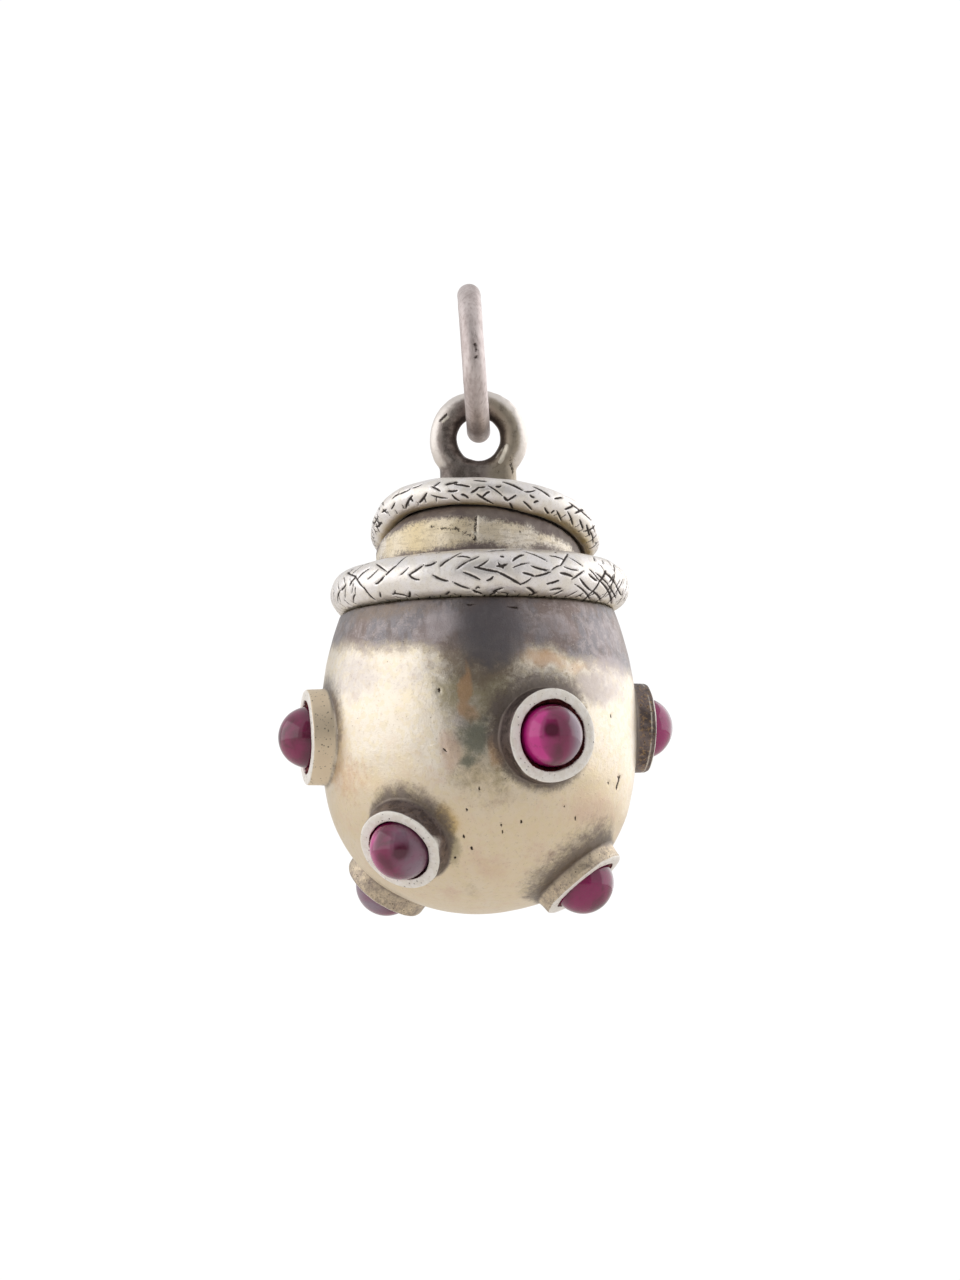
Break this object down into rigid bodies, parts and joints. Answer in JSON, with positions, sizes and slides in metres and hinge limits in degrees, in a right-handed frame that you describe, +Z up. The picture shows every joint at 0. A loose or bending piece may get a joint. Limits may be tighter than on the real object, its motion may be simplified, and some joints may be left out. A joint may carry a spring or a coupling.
{
  "type": "egg pendant",
  "caption": "Hollow gilt egg pendant with round cabochons in bezel cups and an engraved snake wound round its neck, hung from a jump ring.",
  "frame": {"origin": "inside top of the jump ring, where a chain bears", "axes": "+Z up as the pendant hangs, -Y towards the egg's front, +X along the chain, to the right as seen from the front"},
  "size_m": [0.0248, 0.0242, 0.04],
  "materials": {
    "ring_silver": "satin",
    "neck_gilt": "tarnished",
    "snake_silver": "engraved",
    "egg_gilt": "tarnished",
    "stone": "polished"
  },
  "bodies": {
    "ring": {"jump_ring": "ring_silver"},
    "egg": {"neck": "neck_gilt", "snake_coil": "snake_silver", "egg_shell": "egg_gilt", "stone_1": "stone", "stone_2": "stone", "stone_3": "stone", "stone_4": "stone", "stone_5": "stone", "stone_6": "stone", "stone_7": "stone", "stone_8": "stone"}
  },
  "joints": [
    {"name": "egg_swing", "type": "hinge", "parent": "ring", "child": "egg", "pos_m": [0.00055, 0, -0.00783], "axis": [0, 1, 0], "range_deg": [-95, 95]}
  ]
}
